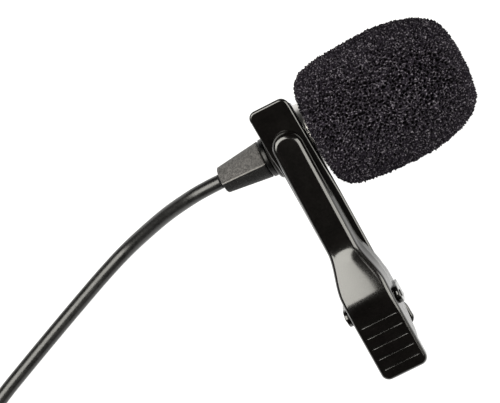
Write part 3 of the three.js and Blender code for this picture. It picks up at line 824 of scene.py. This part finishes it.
def makeCarrier():
    s = carrierSet
    right = carrierSide(s["right"])
    left = [(-x, y) for x, y in carrierSide(s["left"])]
    parts = [pressedSheet(
        "carrierJaw", right, left,
        lambda y: 0.0,
        lambda y: throughMarks(y, s["feet"], 0.3),
        lambda side, y: throughMarks(y, s["leanRight"] if side > 0 else s["leanLeft"], 0.2),
        s,
    )]
    earOutline = [(s["pivotY"] - s["earRadius"], s["earFoot"])]
    earOutline += [(s["pivotY"] + s["earRadius"] * math.cos(t), s["pivotZ"] + s["earRadius"] * math.sin(t))
                   for t in (math.pi * (1 - k / 14) for k in range(15))]
    earOutline.append((s["pivotY"] + s["earRadius"], s["earFoot"]))
    for side in (1, -1):
        low, high = sorted((side * s["earIn"], side * s["earOut"]))
        parts.append(roundedPlate(earOutline[::-1], low, high, s["earSoft"], lambda u, v, d: onClip(d, u, v)))
        near, far = sorted((side * s["tabIn"], side * (s["earOut"] - s["tabShort"])))
        back, fore = s["pivotY"] - s["tabHalf"], s["pivotY"] + s["tabHalf"]
        tab = [(near, back), (far, back), (far, fore), (near, fore)]
        parts.append(roundedPlate(tab, s["tabLow"], s["tabHigh"], s["tabSoft"], onClip))
    mesh = joinedMesh("carrierJaw", parts)
    newObject("carrierJaw", mesh, "black_gloss", finish["black_gloss"], "clip", "clip_carrier_jaw")


def makePin():
    s = carrierSet
    profile = []
    for k in range(9):
        turn = k / 8 * math.pi / 2
        profile.append((s["earOut"] + 0.08 + s["pinDome"] * math.cos(turn), s["pinRadius"] * math.sin(turn)))
    profile += [(s["earOut"] + 0.05, s["pinRadius"] - 0.06), (s["earIn"] - 0.1, s["pinRadius"] - 0.06)]
    profile += [(-x, r) for x, r in reversed(profile)]
    segments = 40
    points = []
    for x, r in profile:
        for k in range(segments):
            turn = 2 * math.pi * k / segments
            points.append(onClip(x, s["pivotY"] + r * math.cos(turn), s["pivotZ"] + r * math.sin(turn)))
    mesh = joinedMesh("pivotPin", [(points, ringFaces(len(profile) - 1, segments))])
    newObject("pivotPin", mesh, "black_gloss", finish["black_gloss"], "clip", "pivot_pin")


makeLever()
makeCarrier()
makePin()
print("jaws pressed")


# Torsion spring: the coil and its foot stay on the carrier, the other leg swings with the lever
springSet = {
    "wire": 0.22, "turns": 3.5, "coil": 1.07, "pitch": 0.56, "perTurn": 16,
    "foot": [(-5.4, 0.34), (-3.2, 0.57)],        # y from the pivot and height
    "leg": [(-3.2, 3.65), (-5.4, 3.75)],
}


def wirePiece(name, points, radius, body):
    data = tubeCurve(name + "Path", [onClip(*p) for p in points], radius, 5)
    maker = inScene(name + "Maker", data)
    evaluated = maker.evaluated_get(bpy.context.evaluated_depsgraph_get())
    mesh = bpy.data.meshes.new_from_object(evaluated)
    bpy.data.objects.remove(maker)
    mesh = outward(mesh)
    mesh.materials.clear()
    newObject(name, mesh, slotOf("torsion_spring"), finish["spring_steel"], body, "torsion_spring")


def makeSpring():
    s, c = springSet, carrierSet
    start = -s["turns"] * s["pitch"] / 2
    foot = [Vector((start, c["pivotY"] + y, z)) for y, z in s["foot"]]
    leg = [Vector((-start, c["pivotY"] + y, z)) for y, z in s["leg"]]
    coil = []
    steps = round(s["turns"] * s["perTurn"])
    for i in range(steps + 1):
        turn = -math.pi / 2 + i / steps * s["turns"] * 2 * math.pi
        coil.append(Vector((start + i / steps * s["turns"] * s["pitch"],
                            c["pivotY"] + s["coil"] * math.cos(turn),
                            c["pivotZ"] + s["coil"] * math.sin(turn))))
    wirePiece("springCoil", splineThrough(foot + coil, 4), s["wire"], "clip")
    wirePiece("springLeg", splineThrough(coil[-3:] + leg, 6), s["wire"] - 0.004, "lever")


makeSpring()
print("spring wound")


# Smaller pieces keep their shape and get softened edges
softSet = {
    "holder_ring": ("clip", 0.10), "holder_washer": ("clip", 0.06), "holder_rivet": ("clip", 0.08),
    "grille_cap": ("microphone", 0.05), "plug_boot": ("microphone", 0.25), "plug_body": ("microphone", 0.35),
    "coil_tie": ("microphone", 0.18),
}


def softenPiece(nodeName, body, width):
    source = nodes[nodeName]
    slotName = slotOf(nodeName)
    shape = bmesh.new()
    shape.from_mesh(source.data)
    bmesh.ops.remove_doubles(shape, verts=shape.verts, dist=0.002 * mm)
    bmesh.ops.dissolve_limit(shape, angle_limit=math.radians(2), verts=shape.verts, edges=shape.edges)
    mesh = bpy.data.meshes.new(nodeName + "Soft")
    shape.to_mesh(mesh)
    shape.free()
    mesh.polygons.foreach_set("use_smooth", [True] * len(mesh.polygons))
    piece = inScene(nodeName + "Soft", mesh)
    mesh.materials.append(finish[slotName])
    bevel = piece.modifiers.new("softEdge", "BEVEL")
    bevel.width = width * mm
    bevel.segments = 3
    bevel.limit_method = "ANGLE"
    bevel.angle_limit = math.radians(32)
    bevel.harden_normals = True
    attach(piece, body)
    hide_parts(nodeName)
    return piece


softPieces = {name: softenPiece(name, body, width) for name, (body, width) in softSet.items()}
print("small pieces softened")


# Grip ribs round the plug's boot
ribSet = {
    "count": 7, "first": 1.3, "pitch": 1.05,     # from the boot's thin end
    "thin": 1.9, "thick": 2.8, "long": 10.0,     # the boot itself
    "wire": 0.30, "sunk": 0.10, "hoopPoints": 64, "wirePoints": 12,
}


def setInput(modifier, name, value):
    for item in modifier.node_group.interface.items_tree:
        if item.item_type == "SOCKET" and item.in_out == "INPUT" and item.name == name:
            modifier[item.identifier] = value


def grown(name, tree, values):
    # Runs a node tree once and keeps its result as a plain mesh
    holder = inScene(name + "Maker", bpy.data.meshes.new(name + "Start"))
    modifier = holder.modifiers.new(name, "NODES")
    modifier.node_group = tree
    for key, value in values.items():
        setInput(modifier, key, value)
    evaluated = holder.evaluated_get(bpy.context.evaluated_depsgraph_get())
    mesh = bpy.data.meshes.new_from_object(evaluated)
    mesh.name = name
    holder.modifiers.remove(modifier)
    bpy.data.objects.remove(holder)
    return mesh


def makeRibTree():
    tree = bpy.data.node_groups.new("ribRow", "GeometryNodeTree")
    addSockets(tree, "INPUT", [
        ("Int", "Count", 7), ("Vector", "Start", None), ("Vector", "Step", None), ("Float", "Radius", 0.002),
        ("Float", "Growth", 0.05), ("Float", "Wire", 0.0003), ("Vector", "Turn", None),
        ("Material", "Finish", None),
    ])
    addSockets(tree, "OUTPUT", [("Geometry", "Geometry", None)])
    add = tree.nodes.new
    inside, outside = add("NodeGroupInput"), add("NodeGroupOutput")
    row = add("GeometryNodeMeshLine")
    row.mode = "OFFSET"
    hoop, section = add("GeometryNodeCurvePrimitiveCircle"), add("GeometryNodeCurvePrimitiveCircle")
    rib = add("GeometryNodeCurveToMesh")
    hoop.inputs["Resolution"].default_value = ribSet["hoopPoints"]
    section.inputs["Resolution"].default_value = ribSet["wirePoints"]
    place = add("GeometryNodeInstanceOnPoints")
    index = add("GeometryNodeInputIndex")
    grow = add("ShaderNodeMath")
    grow.operation = "MULTIPLY_ADD"
    grow.inputs[2].default_value = 1.0
    size = add("ShaderNodeCombineXYZ")
    size.inputs["Z"].default_value = 1.0
    real, smooth = add("GeometryNodeRealizeInstances"), add("GeometryNodeSetShadeSmooth")
    finishNode = add("GeometryNodeSetMaterial")
    linkAll(tree, [
        (inside, "Count", row, "Count"), (inside, "Start", row, "Start Location"),
        (inside, "Step", row, "Offset"), (inside, "Radius", hoop, "Radius"),
        (inside, "Wire", section, "Radius"), (hoop, "Curve", rib, "Curve"),
        (section, "Curve", rib, "Profile Curve"), (row, "Mesh", place, "Points"),
        (rib, "Mesh", place, "Instance"), (inside, "Turn", place, "Rotation"), (index, "Index", grow, 0),
        (inside, "Growth", grow, 1), (grow, 0, size, "X"), (grow, 0, size, "Y"),
        (size, "Vector", place, "Scale"), (place, "Instances", real, "Geometry"),
        (real, "Geometry", smooth, "Geometry"), (smooth, "Geometry", finishNode, "Geometry"),
        (inside, "Finish", finishNode, "Material"), (finishNode, "Geometry", outside, "Geometry"),
    ])
    return tree


def makeRibs():
    s = ribSet
    low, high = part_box("plug_boot")
    slope = (s["thick"] - s["thin"]) / s["long"]
    radius = s["thin"] + slope * s["first"] + s["wire"] / 2 - s["sunk"]
    mesh = grown("gripRibs", makeRibTree(), {
        "Count": s["count"],
        "Start": (low.x + s["first"] * mm, (low.y + high.y) / 2, (low.z + high.z) / 2),
        "Step": (s["pitch"] * mm, 0.0, 0.0),
        "Radius": radius * mm,
        "Growth": slope * s["pitch"] / radius,
        "Wire": s["wire"] * mm,
        "Turn": (0.0, math.pi / 2, 0.0),
        "Finish": finish["plug_rubber"],
    })
    return newObject("gripRibs", mesh, "plug_rubber", None, "microphone")


softPieces["gripRibs"] = makeRibs()
print("ribs grown")
makeCable()


# Foam windscreen
foamSet = {
    "outline": [(0, 6.6), (0.45, 7.7), (1.8, 8.8), (5.0, 9.45), (11.2, 9.75), (14.4, 9.65),
                (18.0, 8.9), (20.9, 7.6), (22.6, 5.7), (23.25, 2.4)],
    "rear": 3.8, "nose": 23.32, "pocket": 5.45, "pocketEnd": 10.9,
    "spacing": 0.128,        # between the mesh's points
    "cell": 0.52,            # between the foam's cells
    "deep": 0.50,
    "strutWide": 0.34, "strutMean": 0.66,
    "fuzz": 0.26, "fuzzScale": 6.5,      # stray strut ends
    "lump": 0.10, "lumpScale": 1.1,
    "fray": 0.06, "frayScale": 4.5,
    "seed": (11.3, 4.7, 8.1),
    "lean": 0.1,             # how far the nose sits off the axis
}


def foamProfile():
    s = foamSet
    start = s["rear"]
    marks = [Vector((start + x, r, 0)) for x, r in s["outline"]]
    marks.append(Vector((start + s["nose"], 0.9, 0)))
    marks.append(Vector((start + s["nose"], 0.0, 0)))
    smooth = splineThrough(marks, 24)
    outer = [(p.x, max(p.y, 0)) for p in smooth]
    path = [(s["pocketEnd"], 0.0), (s["pocketEnd"], s["pocket"]), (start, s["pocket"]), *outer]
    line = [path[0]]
    for a, b in zip(path, path[1:]):
        length = math.dist(a, b)
        count = max(1, math.ceil(length / s["spacing"]))
        for k in range(1, count + 1):
            line.append((a[0] + (b[0] - a[0]) * k / count, a[1] + (b[1] - a[1]) * k / count))
    even = [line[0]]
    for p in line[1:]:
        if math.dist(p, even[-1]) >= s["spacing"] * 0.9:
            even.append(p)
    even[-1] = line[-1]
    return even


def makeFoam():
    s = foamSet
    profile = foamProfile()
    points, rings = [], []
    for x, r in profile:
        count = max(3, round(2 * math.pi * r / s["spacing"])) if r > 0.02 else 1
        ids = []
        for k in range(count):
            turn = 2 * math.pi * (k + 0.5 * (len(rings) % 2)) / count
            ids.append(len(points))
            outside = r > s["pocket"] + 0.1 or x > s["pocketEnd"] + 1.1
            off = s["lean"] * max(0, (x - s["rear"]) / s["nose"]) ** 2 if outside else 0
            points.append(Vector((x, r * math.cos(turn) + off, r * math.sin(turn))))
        rings.append(ids)
    faces = []
    for a, b in zip(rings, rings[1:]):
        faces += stitch(a, b, points)
    mesh = meshOf("foamCover", [onMic(*p) for p in points], faces)
    mesh = outward(mesh)
    mesh.calc_loop_triangles()
    normals = [v.normal.copy() for v in mesh.vertices]
    seedShift = Vector(s["seed"])
    # strut share per point, which places the painted shade in the pits and the painted highlights on the
    # struts
    pores = mesh.attributes.new("pore", "FLOAT", "POINT")
    values = []
    for v, n in zip(mesh.vertices, normals):
        local = (v.co - micAxis) / mm
        distances, _ = noise.voronoi(local / s["cell"] + seedShift)
        wall = distances[1] - distances[0]
        strut = 1 - smoothStep(wall / s["strutWide"])
        lump = noise.noise(local * s["lumpScale"]) * s["lump"]
        fray = noise.noise(local * s["frayScale"] + seedShift) * s["fray"]
        fuzz = max(0, noise.cell(local * s["fuzzScale"])) * s["fuzz"] * strut
        rise = (strut - s["strutMean"]) * s["deep"] + lump + fray + fuzz
        v.co += n * rise * mm
        v.co.z = max(v.co.z, 0)      # pressed flat where it rests
        values.append(strut * strut)
    pores.data.foreach_set("value", values)
    mesh.update()
    foam = newObject("foamCover", mesh, "foam", foamMaterial(), "windscreen", "foam_windscreen")
    print("foam made,", len(mesh.polygons), "faces")


def stitch(a, b, points):
    # Triangles between two rings of points round the same axis
    if len(a) == 1 or len(b) == 1:
        if len(a) == 1 and len(b) == 1:
            return []
        single, ring = (a[0], b) if len(a) == 1 else (b[0], a)
        return [(single, ring[k], ring[(k + 1) % len(ring)]) for k in range(len(ring))]

    def turnOf(i):
        return math.atan2(points[i].z, points[i].y) % (2 * math.pi)

    turnsA = [turnOf(i) for i in a]
    turnsB = [turnOf(i) for i in b]
    faces, i, j = [], 0, 0
    while i < len(a) or j < len(b):
        nextA = turnsA[(i + 1) % len(a)] + (2 * math.pi if i + 1 >= len(a) else 0)
        nextB = turnsB[(j + 1) % len(b)] + (2 * math.pi if j + 1 >= len(b) else 0)
        if j >= len(b) or (i < len(a) and nextA <= nextB):
            faces.append((a[i % len(a)], b[j % len(b)], a[(i + 1) % len(a)]))
            i += 1
        else:
            faces.append((a[i % len(a)], b[j % len(b)], b[(j + 1) % len(b)]))
            j += 1
    return faces


def foamMaterial():
    material, tree, body = plainMaterial("foamCharcoal")
    pore = tree.nodes.new("ShaderNodeAttribute")
    pore.attribute_name = "pore"
    place = tree.nodes.new("ShaderNodeTexCoord")
    # noise specks on the struts are painted highlights
    speck = tree.nodes.new("ShaderNodeTexNoise")
    speck.inputs["Scale"].default_value = 3600
    speck.inputs["Detail"].default_value = 2
    bright = tree.nodes.new("ShaderNodeMapRange")
    bright.inputs["From Min"].default_value = 0.54
    bright.inputs["From Max"].default_value = 0.68
    gate = tree.nodes.new("ShaderNodeMath")
    gate.operation = "MULTIPLY"
    # pits are painted near black as painted shade; the struts keep the foam's own charcoal
    depth = mixColours(tree)
    depth.inputs["A"].default_value = (0.0001, 0.0001, 0.0002, 1)
    depth.inputs["B"].default_value = (0.0125, 0.0105, 0.0150, 1)
    shine = mixColours(tree)
    shine.inputs["B"].default_value = (0.15, 0.14, 0.16, 1)
    linkAll(tree, [
        (place, "Object", speck, "Vector"), (speck, "Fac", bright, "Value"), (bright, "Result", gate, 0),
        (pore, "Fac", gate, 1), (pore, "Fac", depth, "Factor"), (depth, "Result", shine, "A"),
        (gate, 0, shine, "Factor"), (shine, "Result", body, "Base Color"),
    ])
    body.inputs["Roughness"].default_value = 0.75
    body.inputs["Specular IOR Level"].default_value = 0.02
    return material


makeFoam()


# Floor and lights
lightSet = {
    "floor": 0.18, "floorGlow": 0.93, "floorHalf": 3.0, "floorAt": -0.0002, "world": 0.03,
    "warm": (1.0, 0.98, 0.905),
    # degrees from the clip's normal towards the windscreen and towards the tips, metres, watts
    "key": {"side": -24, "lean": 33, "away": 0.5, "wide": 0.48, "high": 0.42, "power": 6.0},
    "rim": {"side": 48, "lean": -6, "away": 0.45, "wide": 0.44, "high": 0.30, "power": 3.0},
}


def makeFloor():
    half, z = lightSet["floorHalf"], lightSet["floorAt"]
    corners = [(-half, -half, z), (half, -half, z), (half, half, z), (-half, half, z)]
    mesh = meshOf("floorPlane", corners, [(0, 1, 2, 3)], False)
    floor = inScene("floorPlane", mesh)
    material, _, body = plainMaterial("paleFloor")
    body.inputs["Base Color"].default_value = (*grey(lightSet["floor"]), 1)
    body.inputs["Roughness"].default_value = 0.9
    body.inputs["Specular IOR Level"].default_value = 0.1
    body.inputs["Emission Color"].default_value = (1, 1, 1, 1)
    body.inputs["Emission Strength"].default_value = lightSet["floorGlow"]
    floor.data.materials.append(material)


def softBox(name, s):
    light = bpy.data.lights.new(name, "AREA")
    light.shape = "RECTANGLE"
    light.size, light.size_y = s["wide"], s["high"]
    light.energy = s["power"]
    light.color = lightSet["warm"]
    away = clipDirection(s["side"], s["lean"])
    across = (Vector((1, 0, 0)) - away * away.x).normalized()
    upward = away.cross(across)
    place = micAxis + away * s["away"]
    lamp = inScene(name, light)
    lamp.matrix_world = facing(across, upward, away, place)


def makeLights():
    world = bpy.data.worlds.new("studio")
    world.use_nodes = True
    world.node_tree.nodes["Background"].inputs["Color"].default_value = (1, 1, 1, 1)
    world.node_tree.nodes["Background"].inputs["Strength"].default_value = lightSet["world"]
    bpy.context.scene.world = world
    bpy.context.scene.view_settings.view_transform = "Standard"
    softBox("keyBox", lightSet["key"])
    softBox("rimBox", lightSet["rim"])


makeFloor()
makeLights()
print("floor and lights set")
